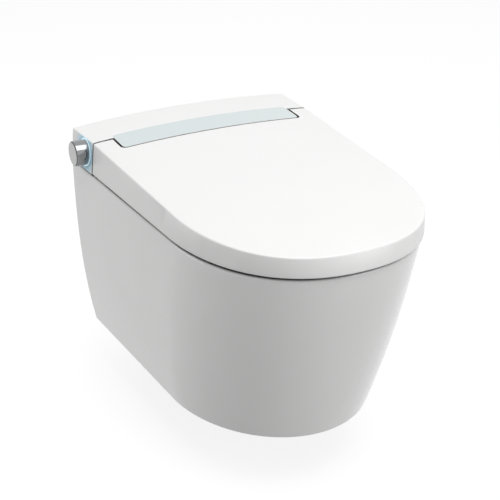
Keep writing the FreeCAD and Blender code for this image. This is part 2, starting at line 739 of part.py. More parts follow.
# Lid
def lid_shell():
    high = RIM + TOP_SEAM + CROWN + OVERRUN
    region = box(-REAR_WIDTH, REAR_WIDTH, LENGTH + OVERRUN, LID_REAR, LOW, high)
    skin = body_loft(0).common(under_top(0)).common(region)
    lower = [e for e in skin.Edges if e.BoundBox.ZMax < LOW + OVERRUN]
    lower = [e for e in lower if e.BoundBox.YMin < -LID_REAR - OVERRUN]
    skin = skin.makeFillet(EDGE_ROUND, top_edges(skin) + lower)
    skin = skin.cut(body_loft(LID_WALL).common(under_top(LID_SKIN)))
    half = NOTCH_WIDTH / 2
    notch = rounded_box(-half, half, NOTCH_DEPTH, LID_REAR - LUG, LOW, high, TONGUE_CORNER + NOTCH_GAP)
    skin = skin.cut(notch)
    # the rear edge is eased round the hinge so that it swings clear of the cover
    axis = V(-REAR_WIDTH / 2, -HINGE_DEPTH, HINGE_Z)
    corner = box(-REAR_WIDTH / 2, REAR_WIDTH / 2, HINGE_DEPTH, SEAM_DEPTH, HINGE_Z, high)
    skin = skin.cut(corner.cut(rod(2 * (HINGE_SETBACK + SEAM - SWEEP_CLEAR), REAR_WIDTH, axis, X)))
    lugs = []
    holes = []
    for side, bore in ((-1, SHAFT), (1, BUSH)):
        start = V(side * LUG_INNER, -HINGE_DEPTH, HINGE_Z)
        inner, outer = sorted((side * LUG_INNER, side * LUG_OUTER))
        block = box(inner, outer, HINGE_DEPTH + LUG / 2, HINGE_DEPTH - LUG / 2, HINGE_Z, high)
        lugs += [rod(LUG, LUG_WIDTH, start, X * side), block.common(under_top(LID_SKIN / 2))]
        holes.append(rod(bore, LUG_WIDTH, start, X * side))
    return skin.fuse(lugs).removeSplitter().cut(holes)


def seat_top(depth):
    """Height of the seat's top, which falls towards the front."""
    rear = SEAT_LOW + SEAT_REAR_HEIGHT
    fall = (SEAT_REAR_HEIGHT - SEAT_FRONT_HEIGHT) / (LENGTH - SEAT_INSET - SEAT_REAR)
    return rear - fall * (depth - SEAT_REAR)


def pad_places(insets):
    """Left and right (x, depth) of pads given by their distance from the sides and from the front."""
    half = SIDE_WIDTH / 2
    return [(side * (half - inset), LENGTH - setback) for inset, setback in insets for side in (-1, 1)]


def lid_bumpers():
    pads = []
    for x, depth in pad_places(LID_BUMPER_INSETS):
        low = seat_top(depth - BUMPER / 2) + CLEAR
        pad = rod(BUMPER, top_height(x, depth) - low, V(x, -depth, low), Z)
        pads.append(pad.common(under_top(LID_SKIN)))
    return Part.makeCompound(pads)


# Seat ring
def under_seat_top(drop):
    """Everything below the seat's sloping top, lowered by a drop."""
    far = LENGTH
    corners = [V(-REAR_WIDTH / 2, 0, SEAT_LOW - OVERRUN), V(-REAR_WIDTH / 2, 0, seat_top(0) - drop),
               V(-REAR_WIDTH / 2, -far, seat_top(far) - drop), V(-REAR_WIDTH / 2, -far, SEAT_LOW - OVERRUN)]
    return prism(corners, X * REAR_WIDTH)


def seat_outer(inset):
    """Block of the seat's outline with drafted sides, drawn in by an inset."""
    wires = []
    for rise, draft in ((0, 0), (SEAT_REAR_HEIGHT + OVERRUN, SEAT_DRAFT)):
        drawn_in = SEAT_INSET + inset + draft
        wires.append(d_wire(REAR_WIDTH / 2 - drawn_in, SIDE_WIDTH / 2 - drawn_in, SIDE_DEPTH,
                            LENGTH - drawn_in, LID_ROUNDNESS, SEAT_LOW + rise, 0.0, SEAT_REAR + inset))
    return Part.makeLoft(wires, True, False)


def seat_hole(growth):
    """Upright oval block of the seat's opening, grown all round."""
    front = LENGTH - SEAT_INSET - SEAT_FRONT_BAR + growth
    rear = SEAT_REAR + SEAT_REAR_BAR - growth
    half = SIDE_WIDTH / 2 - SEAT_INSET - SEAT_SIDE_BAR + growth
    centre = V(0, -(front + rear) / 2, SEAT_LOW - OVERRUN)
    outline = Part.Wire([oval(centre, front - rear, 2 * half)])
    return Part.Face(outline).extrude(Z * (SEAT_REAR_HEIGHT + 3 * OVERRUN))


def seat_recess(growth):
    """Arch under the rear of the seat that leaves the nozzle and the dryer free."""
    half = PORT_WIDTH / 2 + growth
    return box(-half, half, SEAT_REAR + RECESS_LENGTH + growth, SEAT_REAR - OVERRUN - growth,
               SEAT_LOW - OVERRUN, RIM + RECESS_RISE + growth)


def seat_ring(inset, drop, low, high):
    """Ring of the seat drawn in by an inset on both rims, between heights and below the lowered top."""
    ring = seat_outer(inset).cut(seat_hole(inset)).cut(seat_recess(inset))
    return ring.common(under_seat_top(drop)).common(box(-REAR_WIDTH, REAR_WIDTH, LENGTH, 0, low, high))


def seat_shell():
    high = SEAT_LOW + SEAT_REAR_HEIGHT + OVERRUN
    ring = seat_outer(0).cut(seat_hole(0)).common(under_seat_top(0))
    rims = [e for e in ring.Edges if e.BoundBox.ZMin > SEAT_LOW + SEAT_FRONT_HEIGHT - OVERRUN]
    ring = ring.makeFillet(SEAT_ROUND, rims).cut(seat_recess(0))
    ring = ring.cut(seat_ring(SEAT_SKIN, SEAT_SKIN, SEAT_LOW - OVERRUN, high))
    arms = []
    holes = []
    for side, bore in ((-1, BUSH), (1, SHAFT)):
        start = V(side * ARM_INNER, -HINGE_DEPTH, HINGE_Z)
        reach = EYE / 2 * math.sqrt(0.5)
        root = -SEAT_REAR - SEAT_SKIN
        corners = [start + V(0, -reach, reach), V(start.x, root, seat_top(SEAT_REAR) - SEAT_SKIN / 2),
                   V(start.x, root, SEAT_LOW + SEAT_SKIN), start - V(0, reach, reach), start]
        arms += [prism(corners, X * (side * ARM_WIDTH)), rod(EYE, ARM_WIDTH, start, X * side)]
        holes.append(rod(bore, ARM_WIDTH, start, X * side))
    return ring.fuse(arms).removeSplitter().cut(holes)


def seat_base():
    return seat_ring(SEAT_SKIN + CLEAR, SEAT_SKIN, SEAT_LOW, SEAT_LOW + SEAT_BASE)


def seat_heater():
    high = SEAT_LOW + SEAT_REAR_HEIGHT
    sheet = seat_ring(SEAT_SKIN + SEAT_BASE, SEAT_SKIN, SEAT_LOW, high)
    return sheet.cut(under_seat_top(SEAT_SKIN + SEAT_FOIL))


def seat_bumpers():
    pads = []
    for x, depth in pad_places(SEAT_BUMPER_INSETS):
        pads.append(rod(SEAT_BUMPER, SEAT_GAP - CLEAR, V(x, -depth, RIM + CLEAR), Z))
    return Part.makeCompound(pads)


# Knob
def knob_cap():
    base = POCKET_FLOOR + KNOB_PUSH + CLEAR
    face = KNOB_SIDE + KNOB_PROUD
    cap = rod(KNOB, face - base, knob_axis(base), -X)
    rim = [e for e in cap.Edges if e.BoundBox.XMax < -face + CLEAR]
    cap = cap.makeChamfer(KNOB_CHAMFER, rim)
    cap = cap.cut(rod(KNOB - 2 * KNOB_WALL, face - base - KNOB_WALL, knob_axis(base), -X))
    hub = rod(KNOB_HUB, face - base - KNOB_WALL, knob_axis(base), -X)
    return cap.fuse(hub).removeSplitter().cut(rod(SHAFT, face - base - KNOB_WALL, knob_axis(base), -X))


def knob_shaft():
    inner = POCKET_FLOOR - COVER_WALL - ENCODER_LENGTH + ENCODER_FLOOR + KNOB_PUSH + KNOB_SHAFT_END
    return rod(SHAFT, KNOB_SIDE + KNOB_PROUD - KNOB_WALL - inner, knob_axis(inner), -X)


def knob_bush():
    inner = POCKET_FLOOR - COVER_WALL - ENCODER_LENGTH + ENCODER_FLOOR + KNOB_PUSH + KNOB_BUSH_END
    outer = POCKET_FLOOR + KNOB_PUSH
    return tube(KNOB_BUSH, SHAFT + 2 * RUNNING, outer - inner, knob_axis(inner), -X)


def encoder_body():
    front = POCKET_FLOOR - COVER_WALL
    can = rod(ENCODER, ENCODER_LENGTH, knob_axis(front), X)
    return can.cut(rod(KNOB_BUSH + 2 * RUNNING, ENCODER_LENGTH - ENCODER_FLOOR, knob_axis(front), X))


# Washing nozzle, in its own frame: the tip at 0, the tail along +y, the rack on top
def pitched(shape):
    """Turn a nozzle piece to its slope and set it at the exit of the tongue."""
    shape = shape.copy()
    shape.rotate(V(0, 0, 0), X, NOZZLE_PITCH)
    shape.translate(V(0, NOZZLE_SETBACK - TONGUE_DEPTH, RIM + NOZZLE_RISE))
    return shape


TOOTH_PITCH = math.pi * MODULE
PITCH_RADIUS = MODULE * PINION_TEETH / 2
PINION_CENTRE = V(0, PINION_PLACE, RACK_RISE + PITCH_RADIUS)


def nozzle_arm():
    arm = rod(NOZZLE, NOZZLE_LENGTH - TIP_LENGTH, Y * TIP_LENGTH, Y)
    root = RACK_RISE - MODULE * DEDENDUM_share
    bar = Part.makeBox(RACK_WIDTH, NOZZLE_LENGTH - RACK_START, root, V(-RACK_WIDTH / 2, RACK_START, 0))
    teeth = []
    first = math.ceil((RACK_START - PINION_PLACE) / TOOTH_PITCH)
    last = math.floor((NOZZLE_LENGTH - PINION_PLACE) / TOOTH_PITCH) - 1
    for number in range(first, last + 1):
        middle = PINION_PLACE + (number + 0.5) * TOOTH_PITCH
        low_half = TOOTH_PITCH * TOOTH_ROOT_share / 2
        top_half = TOOTH_PITCH * TOOTH_TIP_share / 2
        top = RACK_RISE + MODULE * ADDENDUM_share
        left = -RACK_WIDTH / 2
        flank = [V(left, middle - low_half, root), V(left, middle - top_half, top),
                 V(left, middle + top_half, top), V(left, middle + low_half, root)]
        teeth.append(prism(flank, X * RACK_WIDTH))
    bore = rod(NOZZLE_BORE, NOZZLE_LENGTH, Y * TIP_LENGTH, Y)
    return pitched(joined([arm, bar] + teeth).cut(bore))


def nozzle_tip():
    head = rod(NOZZLE, TIP_LENGTH, V(0, 0, 0), Y)
    head = head.makeFillet(TIP_ROUND, [e for e in head.Edges if e.BoundBox.YMax < CLEAR])
    plug = rod(NOZZLE_BORE, TIP_PLUG, Y * TIP_LENGTH, Y)
    holes = []
    for number in range(SPRAY_COUNT):
        place = V(0, TIP_LENGTH / 2, 0) + X * (SPRAY_PITCH * (number - (SPRAY_COUNT - 1) / 2))
        holes.append(rod(SPRAY_HOLE, NOZZLE, place, Z))
    return pitched(joined([head, plug]).cut(holes))


def nozzle_pinion():
    left = -PINION_WIDTH / 2
    root = PITCH_RADIUS - MODULE * DEDENDUM_share
    top = PITCH_RADIUS + MODULE * ADDENDUM_share
    blank = rod(2 * root, PINION_WIDTH, X * left, X)
    teeth = []
    for number in range(PINION_TEETH):
        low_half = TOOTH_PITCH * TOOTH_ROOT_share / 2
        top_half = TOOTH_PITCH * TOOTH_TIP_share / 2
        sunk = math.sqrt(root ** 2 - low_half ** 2) - MODULE * ADDENDUM_share
        tooth = prism([V(left, -low_half, -sunk), V(left, -low_half, -math.sqrt(root ** 2 - low_half ** 2)),
                       V(left, -top_half, -top), V(left, top_half, -top),
                       V(left, low_half, -math.sqrt(root ** 2 - low_half ** 2)), V(left, low_half, -sunk)],
                      X * PINION_WIDTH)
        tooth.rotate(V(0, 0, 0), X, 360.0 * number / PINION_TEETH)
        teeth.append(tooth)
    length = NOZZLE / 2 + GUIDE_GAP + GUIDE_WALL + MOTOR_GRIP - left
    gear = joined([blank, rod(PINION_SHAFT, length, X * left, X)] + teeth)
    gear.translate(PINION_CENTRE)
    return pitched(gear)


def nozzle_housing():
    inner = NOZZLE / 2 + GUIDE_GAP
    floor_low = V(-inner, GUIDE_START, -NOZZLE / 2 - CLEAR - GUIDE_WALL)
    floor = Part.makeBox(2 * inner, GUIDE_END - GUIDE_START, GUIDE_WALL, floor_low)
    pieces = [pitched(floor)]
    turn = math.radians(NOZZLE_PITCH)

    def slope_point(along, up):
        depth = TONGUE_DEPTH - NOZZLE_SETBACK - along * math.cos(turn) + up * math.sin(turn)
        return V(0, -depth, RIM + NOZZLE_RISE + along * math.sin(turn) + up * math.cos(turn))

    front = slope_point(GUIDE_START, GUIDE_LIP)
    rear = slope_point(GUIDE_END, GUIDE_LIP)
    side = [V(0, front.y, PLATE_TOP), front, rear, V(0, rear.y, PLATE_TOP)]
    for left in (-inner - GUIDE_WALL, inner):
        pieces.append(prism([p + X * left for p in side], X * GUIDE_WALL))
    ear = rod(GUIDE_EAR, GUIDE_WALL, PINION_CENTRE + X * inner, X)
    neck = Part.makeBox(GUIDE_WALL, GUIDE_EAR, PINION_CENTRE.z, V(inner, PINION_PLACE - GUIDE_EAR / 2, 0))
    pieces += [pitched(ear), pitched(neck)]
    hole = rod(PINION_SHAFT + 2 * RUNNING, GUIDE_WALL, PINION_CENTRE + X * inner, X)
    return joined(pieces).cut(pitched(hole))


def nozzle_motor():
    start = PINION_CENTRE + X * (NOZZLE / 2 + GUIDE_GAP + GUIDE_WALL)
    can = rod(MOTOR, MOTOR_LENGTH, start, X)
    return pitched(can.cut(rod(PINION_SHAFT + 2 * RUNNING, MOTOR_GRIP + CLEAR, start, X)))


# Dryer
FAN_FLOOR = PLATE_TOP + FAN_MOTOR_HEIGHT
FAN_AXIS = V(FAN_X, -FAN_DEPTH, PLATE_TOP)


def duct_block(inset, far, near):
    """Straight air duct from the drum to the front, drawn in by an inset."""
    low = FAN_FLOOR + FAN_WALL
    right = DUCT_LEFT + DUCT_WIDTH
    return box(DUCT_LEFT + inset, right - inset, far, near, low + inset, low + DUCT_HEIGHT - inset)


def fan_housing():
    height = FAN_MOTOR_HEIGHT + FAN_HEIGHT
    drum = rod(FAN_DRUM, height, FAN_AXIS, Z)
    bore = FAN_DRUM - 2 * FAN_WALL
    lower = rod(bore, FAN_MOTOR_HEIGHT, FAN_AXIS, Z)
    upper = rod(bore, FAN_HEIGHT - 2 * FAN_WALL, FAN_AXIS + Z * (FAN_MOTOR_HEIGHT + FAN_WALL), Z)
    holes = [lower, upper, rod(FAN_INLET, height, FAN_AXIS + Z * (FAN_MOTOR_HEIGHT + FAN_WALL), Z),
             rod(FAN_SHAFT + 2 * CLEAR, height, FAN_AXIS, Z),
             duct_block(FAN_WALL, FAN_DEPTH + FAN_DRUM / 2, FAN_DEPTH)]
    return drum.cut(holes)


def fan_motor():
    can = rod(FAN_MOTOR, FAN_MOTOR_HEIGHT, FAN_AXIS, Z)
    return can.cut(rod(FAN_SHAFT + 2 * RUNNING, FAN_MOTOR_HEIGHT, FAN_AXIS + Z * FAN_WALL, Z))


def fan_impeller():
    low = FAN_AXIS + Z * (FAN_MOTOR_HEIGHT + FAN_WALL + FAN_GAP)
    pieces = [rod(IMPELLER_HUB, IMPELLER_HEIGHT, low, Z), rod(IMPELLER, BLADE, low, Z)]
    for number in range(BLADE_COUNT):
        reach = (IMPELLER - BLADE) / 2
        blade = Part.makeBox(reach, BLADE, IMPELLER_HEIGHT, low - Y * (BLADE / 2))
        blade.rotate(low, Z, 360.0 * number / BLADE_COUNT)
        pieces.append(blade)
    start = FAN_AXIS + Z * (FAN_WALL + CLEAR)
    pieces.append(rod(FAN_SHAFT, FAN_MOTOR_HEIGHT + FAN_GAP + BLADE, start, Z))
    return joined(pieces)


def flap_axis():
    """Hinge line of the dryer flap, just in front of the duct's upper wall."""
    depth = TONGUE_DEPTH - NOZZLE_SETBACK + CLEAR + FLAP_PIN / 2
    return V(DUCT_LEFT, -depth, FAN_FLOOR + FAN_WALL + DUCT_HEIGHT + FLAP_PIN / 2)


def dryer_duct():
    far = TONGUE_DEPTH - NOZZLE_SETBACK
    walls = duct_block(0, far, FAN_DEPTH).cut(duct_block(FAN_WALL, far, FAN_DEPTH))
    walls = walls.cut(rod(FAN_DRUM, FAN_HEIGHT + FAN_MOTOR_HEIGHT, FAN_AXIS, Z))
    axis = flap_axis()
    pieces = [walls]
    holes = []
    for left in (-CLEAR - FLAP_EAR_WALL, DUCT_WIDTH + CLEAR):
        start = axis + X * left
        arm_near = far - FLAP_EAR
        pieces.append(rod(FLAP_EAR, FLAP_EAR_WALL, start, X))
        ear_low = axis.z - FLAP_EAR / 2
        pieces.append(box(start.x, start.x + FLAP_EAR_WALL, -axis.y, arm_near, ear_low, axis.z))
        side = sorted((start.x, DUCT_LEFT if left < 0 else DUCT_LEFT + DUCT_WIDTH))
        pieces.append(box(side[0], side[1] + FLAP_EAR_WALL * (left < 0), far, arm_near,
                          ear_low, axis.z - FLAP_PIN / 2))
        holes.append(rod(FLAP_PIN + 2 * RUNNING, FLAP_EAR_WALL, start, X))
    return joined(pieces).cut(holes)


def dryer_flap():
    axis = flap_axis()
    low = FAN_FLOOR + FAN_WALL
    right = axis.x + DUCT_WIDTH - CLEAR
    leaf = box(axis.x + CLEAR, right, -axis.y + FLAP / 2, -axis.y - FLAP / 2, low, axis.z)
    pin = rod(FLAP_PIN, DUCT_WIDTH + 2 * (CLEAR + FLAP_EAR_WALL), axis - X * (CLEAR + FLAP_EAR_WALL), X)
    return joined([leaf, pin])


# Water side and electronics
def seated_box(left, right, far, near, height):
    """Rounded housing that stands on the base plate."""
    return rounded_box(left, right, far, near, PLATE_TOP, PLATE_TOP + height, BOX_ROUND)


def water_heater():
    return seated_box(UNIT_LEFT, -HEATER_MIDDLE_GAP, HEATER_FRONT, HEATER_REAR, HEATER_HEIGHT)


def inlet_valve():
    return seated_box(UNIT_LEFT, VALVE_RIGHT, VALVE_FRONT, VALVE_REAR, VALVE_HEIGHT)


def deodoriser_filter():
    return seated_box(FILTER_RIGHT - FILTER_WIDTH, FILTER_RIGHT, FILTER_FRONT, FILTER_REAR, FILTER_HEIGHT)


def water_pump():
    can = rod(PUMP, PUMP_FRONT - PUMP_REAR, V(PUMP_X, -PUMP_REAR, PLATE_TOP + PUMP_RISE), -Y)
    left = PUMP_X - PUMP_FOOT / 2
    foot = seated_box(left, left + PUMP_FOOT, PUMP_FOOT_FRONT, PUMP_FOOT_REAR, PUMP_FOOT_HEIGHT)
    return joined([can, foot])


def inlet_fitting():
    start = V(INLET_X, -WALL_GAP, LOW + INLET_RISE)
    inside = start - Y * COVER_WALL
    stem = rod(INLET_OUTER, INLET_LENGTH, start, -Y)
    flange = rod(INLET_FLANGE, INLET_FLANGE_WALL, inside, -Y)
    thread = rod(INLET_BORE, INLET_THREAD, start, -Y)
    return joined([stem, flange]).cut([thread, rod(HOSE_BORE, INLET_LENGTH, start, -Y)])


def hose(points):
    """Hose along straight runs with one rounded turn at the middle point."""
    first, turn, last = points
    into = (turn - first).normalize()
    out = (last - turn).normalize()
    entry = turn - into * HOSE_BEND
    leave = turn + out * HOSE_BEND
    middle = turn + (out - into) * (HOSE_BEND * (1 - math.sqrt(0.5)))
    route = Part.Wire([line(first, entry), Part.Arc(entry, middle, leave).toShape(), line(leave, last)])

    def swept(diameter):
        circle = Part.Wire([Part.Circle(first, into, diameter / 2).toShape()])
        return route.makePipeShell([circle], True, False)

    return swept(HOSE).cut(swept(HOSE_BORE))


def water_hoses():
    feed = LOW + INLET_RISE
    pump_z = PLATE_TOP + PUMP_RISE
    supply = hose([V(INLET_X, -WALL_GAP - INLET_LENGTH, feed), V(INLET_X, -VALVE_PORT_DEPTH, feed),
                   V(UNIT_LEFT, -VALVE_PORT_DEPTH, feed)])
    transfer = rod(HOSE, PUMP_X - VALVE_RIGHT, V(VALVE_RIGHT, -VALVE_PORT_DEPTH, pump_z), X)
    transfer = transfer.cut(rod(PUMP, PUMP_FRONT, V(PUMP_X, 0, pump_z), -Y))
    delivery = hose([V(PUMP_X, -PUMP_FRONT, pump_z), V(PUMP_X, -HEATER_PORT_DEPTH, pump_z),
                     V(-HEATER_MIDDLE_GAP, -HEATER_PORT_DEPTH, pump_z)])
    return Part.makeCompound([supply, transfer, delivery])


def control_board():
    high = PLATE_TOP + BOARD_HEIGHT
    depth = REAR_PLATE + PLATE_GAP
    pieces = [box(BOARD_LEFT, BOARD_RIGHT, depth + BOARD, depth, PLATE_TOP, high)]
    for across, up in CHIP_PLACES_share:
        x = BOARD_LEFT + (BOARD_RIGHT - BOARD_LEFT) * across
        z = PLATE_TOP + BOARD_HEIGHT * up
        pieces.append(box(x - CHIP / 2, x + CHIP / 2, depth + BOARD + CHIP_HEIGHT, depth,
                          z - CHIP / 2, z + CHIP / 2))
    return joined(pieces)


def power_gland():
    start = V(GLAND_X, -WALL_GAP, LOW + INLET_RISE)
    flange = rod(GLAND_FLANGE, COVER_WALL, start - Y * COVER_WALL, -Y)
    stem = rod(GLAND, GLAND_LENGTH, start, -Y)
    return joined([stem, flange]).cut(rod(GLAND_BORE, GLAND_LENGTH, start, -Y))


NODES = {
    "ceramic_pan": ceramic_pan(),
    "bolt_sleeves": bolt_sleeves(),
    "base_plate": base_plate(),
    "base_gasket": base_gasket(),
    "base_bolts": base_bolts(),
    "cover_screws": cover_screws(),
    "rear_cover": rear_cover(),
    "nozzle_shield": nozzle_shield(),
    "glass_panel": glass_panel(),
    "display_board": display_board(),
    "light_ring": light_ring(),
    "encoder_body": encoder_body(),
    "lid_damper": damper(-1),
    "seat_damper": damper(1),
    "nozzle_housing": nozzle_housing(),
    "nozzle_motor": nozzle_motor(),
    "water_heater": water_heater(),
    "inlet_valve": inlet_valve(),
    "deodoriser_filter": deodoriser_filter(),
    "water_pump": water_pump(),
    "inlet_fitting": inlet_fitting(),
    "water_hoses": water_hoses(),
    "fan_housing": fan_housing(),
    "fan_motor": fan_motor(),
    "dryer_duct": dryer_duct(),
    "control_board": control_board(),
    "power_gland": power_gland(),
    "lid_shell": lid_shell(),
    "lid_bumpers": lid_bumpers(),
    "lid_shaft": hinge_shaft(-1),
    "lid_bush": hinge_bush(1, LUG_INNER, LUG_OUTER),
    "seat_shell": seat_shell(),
    "seat_base": seat_base(),
    "seat_heater": seat_heater(),
    "seat_bumpers": seat_bumpers(),
    "seat_shaft": hinge_shaft(1),
    "seat_bush": hinge_bush(-1, ARM_INNER, ARM_OUTER),
    "knob_bush": knob_bush(),
    "knob_cap": knob_cap(),
    "knob_shaft": knob_shaft(),
    "nozzle_arm": nozzle_arm(),
    "nozzle_tip": nozzle_tip(),
    "nozzle_pinion": nozzle_pinion(),
    "fan_impeller": fan_impeller(),
    "dryer_flap": dryer_flap(),
}

os.makedirs("parts", exist_ok=True)
for name, shape in NODES.items():
    shape.exportStep("parts/" + name + ".step")
    print(name, "valid" if shape.isValid() else "INVALID", len(shape.Solids), round(shape.Volume / 1000, 2))
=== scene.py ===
import math

import bmesh
import bpy
from mathutils import Matrix, Vector


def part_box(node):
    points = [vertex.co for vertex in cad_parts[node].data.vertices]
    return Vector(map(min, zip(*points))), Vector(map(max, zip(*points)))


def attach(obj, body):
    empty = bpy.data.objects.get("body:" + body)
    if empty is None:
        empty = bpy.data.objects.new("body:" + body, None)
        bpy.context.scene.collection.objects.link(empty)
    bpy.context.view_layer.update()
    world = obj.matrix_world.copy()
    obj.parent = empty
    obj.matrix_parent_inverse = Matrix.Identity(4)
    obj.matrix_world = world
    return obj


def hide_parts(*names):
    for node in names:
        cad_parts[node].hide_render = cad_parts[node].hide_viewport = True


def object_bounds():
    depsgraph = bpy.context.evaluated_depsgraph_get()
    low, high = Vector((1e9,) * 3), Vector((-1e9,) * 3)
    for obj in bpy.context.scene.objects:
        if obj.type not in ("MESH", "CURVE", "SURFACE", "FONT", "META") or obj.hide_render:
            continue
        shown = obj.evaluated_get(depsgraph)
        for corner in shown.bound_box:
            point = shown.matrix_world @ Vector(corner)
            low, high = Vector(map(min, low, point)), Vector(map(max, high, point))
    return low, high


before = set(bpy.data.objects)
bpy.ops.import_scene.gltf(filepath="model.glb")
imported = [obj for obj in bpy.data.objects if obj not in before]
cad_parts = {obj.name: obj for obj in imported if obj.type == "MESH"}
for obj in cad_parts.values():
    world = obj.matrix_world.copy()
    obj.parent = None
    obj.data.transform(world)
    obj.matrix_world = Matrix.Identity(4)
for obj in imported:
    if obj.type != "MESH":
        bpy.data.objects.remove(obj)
cad_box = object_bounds()


# Ceramic pan: one hollow casting of vitreous china, dipped in a thick white glaze and fired.
# The glaze pools very slightly, so its gloss is not quite even and the surface carries a faint ripple.
class Shade:
    """A socket of a finish's node tree: sums and products add Math nodes, node() adds any other node."""

    def __init__(self, tree, socket=None):
        self.tree = tree
        self.socket = socket

    def node(self, kind, settings, sockets, output=0):
        made = self.tree.nodes.new(kind)
        for name, value in settings.items():
            setattr(made, name, value)
        for name, value in sockets.items():
            if isinstance(value, Shade):
                self.tree.links.new(value.socket, made.inputs[name])
            else:
                made.inputs[name].default_value = value
        return Shade(self.tree, made.outputs[output])

    def maths(self, operation, first, second):
        return self.node("ShaderNodeMath", {"operation": operation}, {0: first, 1: second})

    def __add__(self, other):
        return self.maths("ADD", self, other)

    __radd__ = __add__

    def __mul__(self, other):
        return self.maths("MULTIPLY", self, other)

    __rmul__ = __mul__

    def place(self):
        """Object coordinates of the piece, in metres."""
        return self.node("ShaderNodeTexCoord", {}, {}, "Object")

    def noise(self, scale, detail=3.0, stretch=(1, 1, 1)):
        """Cloudy value between 0 and 1, in repeats per metre."""
        place = self.node("ShaderNodeMapping", {}, {"Vector": self.place(), "Scale": stretch})
        return self.node("ShaderNodeTexNoise", {}, {"Vector": place, "Scale": scale, "Detail": detail})

    def blend(self, amount, first, second):
        """Colour between two colours."""
        return self.node("ShaderNodeMix", {"data_type": "RGBA"}, {0: amount, 6: first, 7: second}, 2)

    def ramp(self, value, start, end):
        """1 up to the start, falling softly to 0 at the end."""
        return self.node("ShaderNodeMapRange", {"interpolation_type": "SMOOTHSTEP"},
                         {"Value": value, "From Min": start, "From Max": end, "To Min": 1.0, "To Max": 0.0})

    def bump(self, height, strength, depth):
        """Normal of a surface with small relief."""
        sockets = {"Height": height, "Strength": strength, "Distance": depth}
        return self.node("ShaderNodeBump", {}, sockets, "Normal")

    def with_painted_gap_shade(self, surface_colour):
        """Painted shade: a colour darkened towards black deep in the narrow gaps between pieces, where
        ambient occlusion finds them shut in.
        """
        reach = 0.016
        shut, open_enough = 0.52, 0.80
        openness = self.node("ShaderNodeAmbientOcclusion", {"samples": 8}, {"Distance": reach}, "AO")
        return self.blend(self.ramp(openness, shut, open_enough), surface_colour, (0.012, 0.012, 0.012, 1))


def finish(name, constants):
    """A material with the fixed sockets of its principled shader set, and the Shade that adds its nodes."""
    material = bpy.data.materials.new(name)
    material.use_nodes = True
    shader = material.node_tree.nodes["Principled BSDF"]
    for socket, value in constants.items():
        shader.inputs[socket].default_value = value
    return material, Shade(material.node_tree), shader


def feed(shade, shader, sockets):
    """Links what varies over the surface to a shader."""
    for name, value in sockets.items():
        shade.tree.links.new(value.socket, shader.inputs[name])


weld_distance = 0.00001
hard_edge = math.radians(32)


def dress(material, *names):
    """Gives CAD nodes a finish, and smooth shading that breaks at their hard edges."""
    for name in names:
        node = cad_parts[name]
        node.data.materials.clear()
        node.data.materials.append(material)
        node.data.polygons.foreach_set("use_smooth", [True] * len(node.data.polygons))
        weld = node.modifiers.new("weld", "WELD")
        weld.merge_threshold = weld_distance
        split = node.modifiers.new("hard_edges", "EDGE_SPLIT")
        split.split_angle = hard_edge


glaze, shade, shader = finish("white_glaze", {"IOR": 1.5, "Coat Roughness": 0.04})
cloud = shade.noise(9, 2)
ripple = shade.noise(38, 2)
# The glaze's colour gets painted shade, dark in the narrow gaps under the lid and round the cover.
feed(shade, shader, {
    "Base Color": shade.with_painted_gap_shade(shade.blend(cloud, (0.86, 0.86, 0.855, 1), (0.90, 0.90, 0.895, 1))),
    "Roughness": 0.12 + 0.08 * cloud,
    "Coat Weight": 0.15 + 0.15 * ripple,
    "Normal": shade.bump(ripple, 0.05, 0.001),
})
dress(glaze, "ceramic_pan")


# Sleeves in the wall-bolt holes: flanged bushes of pale nylon that keep the steel off the china.
# They are pushed in from the back, and the same nylon makes the small bearings and housings further on.
pale_nylon, shade, shader = finish("pale_nylon", {})
cloud = shade.noise(60)
feed(shade, shader, {
    "Base Color": shade.blend(cloud, (0.76, 0.76, 0.73, 1), (0.83, 0.83, 0.80, 1)),
    "Roughness": 0.40 + 0.2 * cloud,
    "Normal": shade.bump(shade.noise(900), 0.08, 0.0003),
})
dress(pale_nylon, "bolt_sleeves")


# Base plate: a dark moulding with a fine spark texture that carries the whole washing unit in the pan's well.
# It lies on a black rubber gasket and is drawn down by steel bolts.
dark_plastic, shade, shader = finish("dark_plastic", {})
grain = shade.noise(1400, 2)
cloud = shade.noise(25)
feed(shade, shader, {
    "Base Color": shade.blend(cloud, (0.035, 0.036, 0.038, 1), (0.055, 0.056, 0.058, 1)),
    "Roughness": 0.42 + 0.2 * grain,
    "Normal": shade.bump(grain, 0.25, 0.0002),
})
dress(dark_plastic, "base_plate")

black_rubber, shade, shader = finish("black_rubber", {"Specular IOR Level": 0.35})
cloud = shade.noise(45)
feed(shade, shader, {
    "Base Color": shade.blend(cloud, (0.018, 0.018, 0.018, 1), (0.04, 0.04, 0.04, 1)),
    "Roughness": 0.62 + 0.25 * cloud,
    "Normal": shade.bump(shade.noise(700), 0.2, 0.0002),
})
dress(black_rubber, "base_gasket")

satin_steel, shade, shader = finish("satin_steel", {"Metallic": 1.0})
streak = shade.noise(120, 4, (1, 12, 12))
feed(shade, shader, {
    "Base Color": shade.blend(streak, (0.52, 0.52, 0.53, 1), (0.66, 0.66, 0.67, 1)),
    "Roughness": 0.22 + 0.2 * streak,
    "Normal": shade.bump(streak, 0.1, 0.0001),
})
dress(satin_steel, "base_bolts")


# Washing nozzle: a steel arm with a white acetal tip that slides out of a dark housing.
# A small motor drives its rack through an acetal pinion.
dress(dark_plastic, "nozzle_housing")
dress(satin_steel, "nozzle_motor", "nozzle_arm")
dress(pale_nylon, "nozzle_tip", "nozzle_pinion")


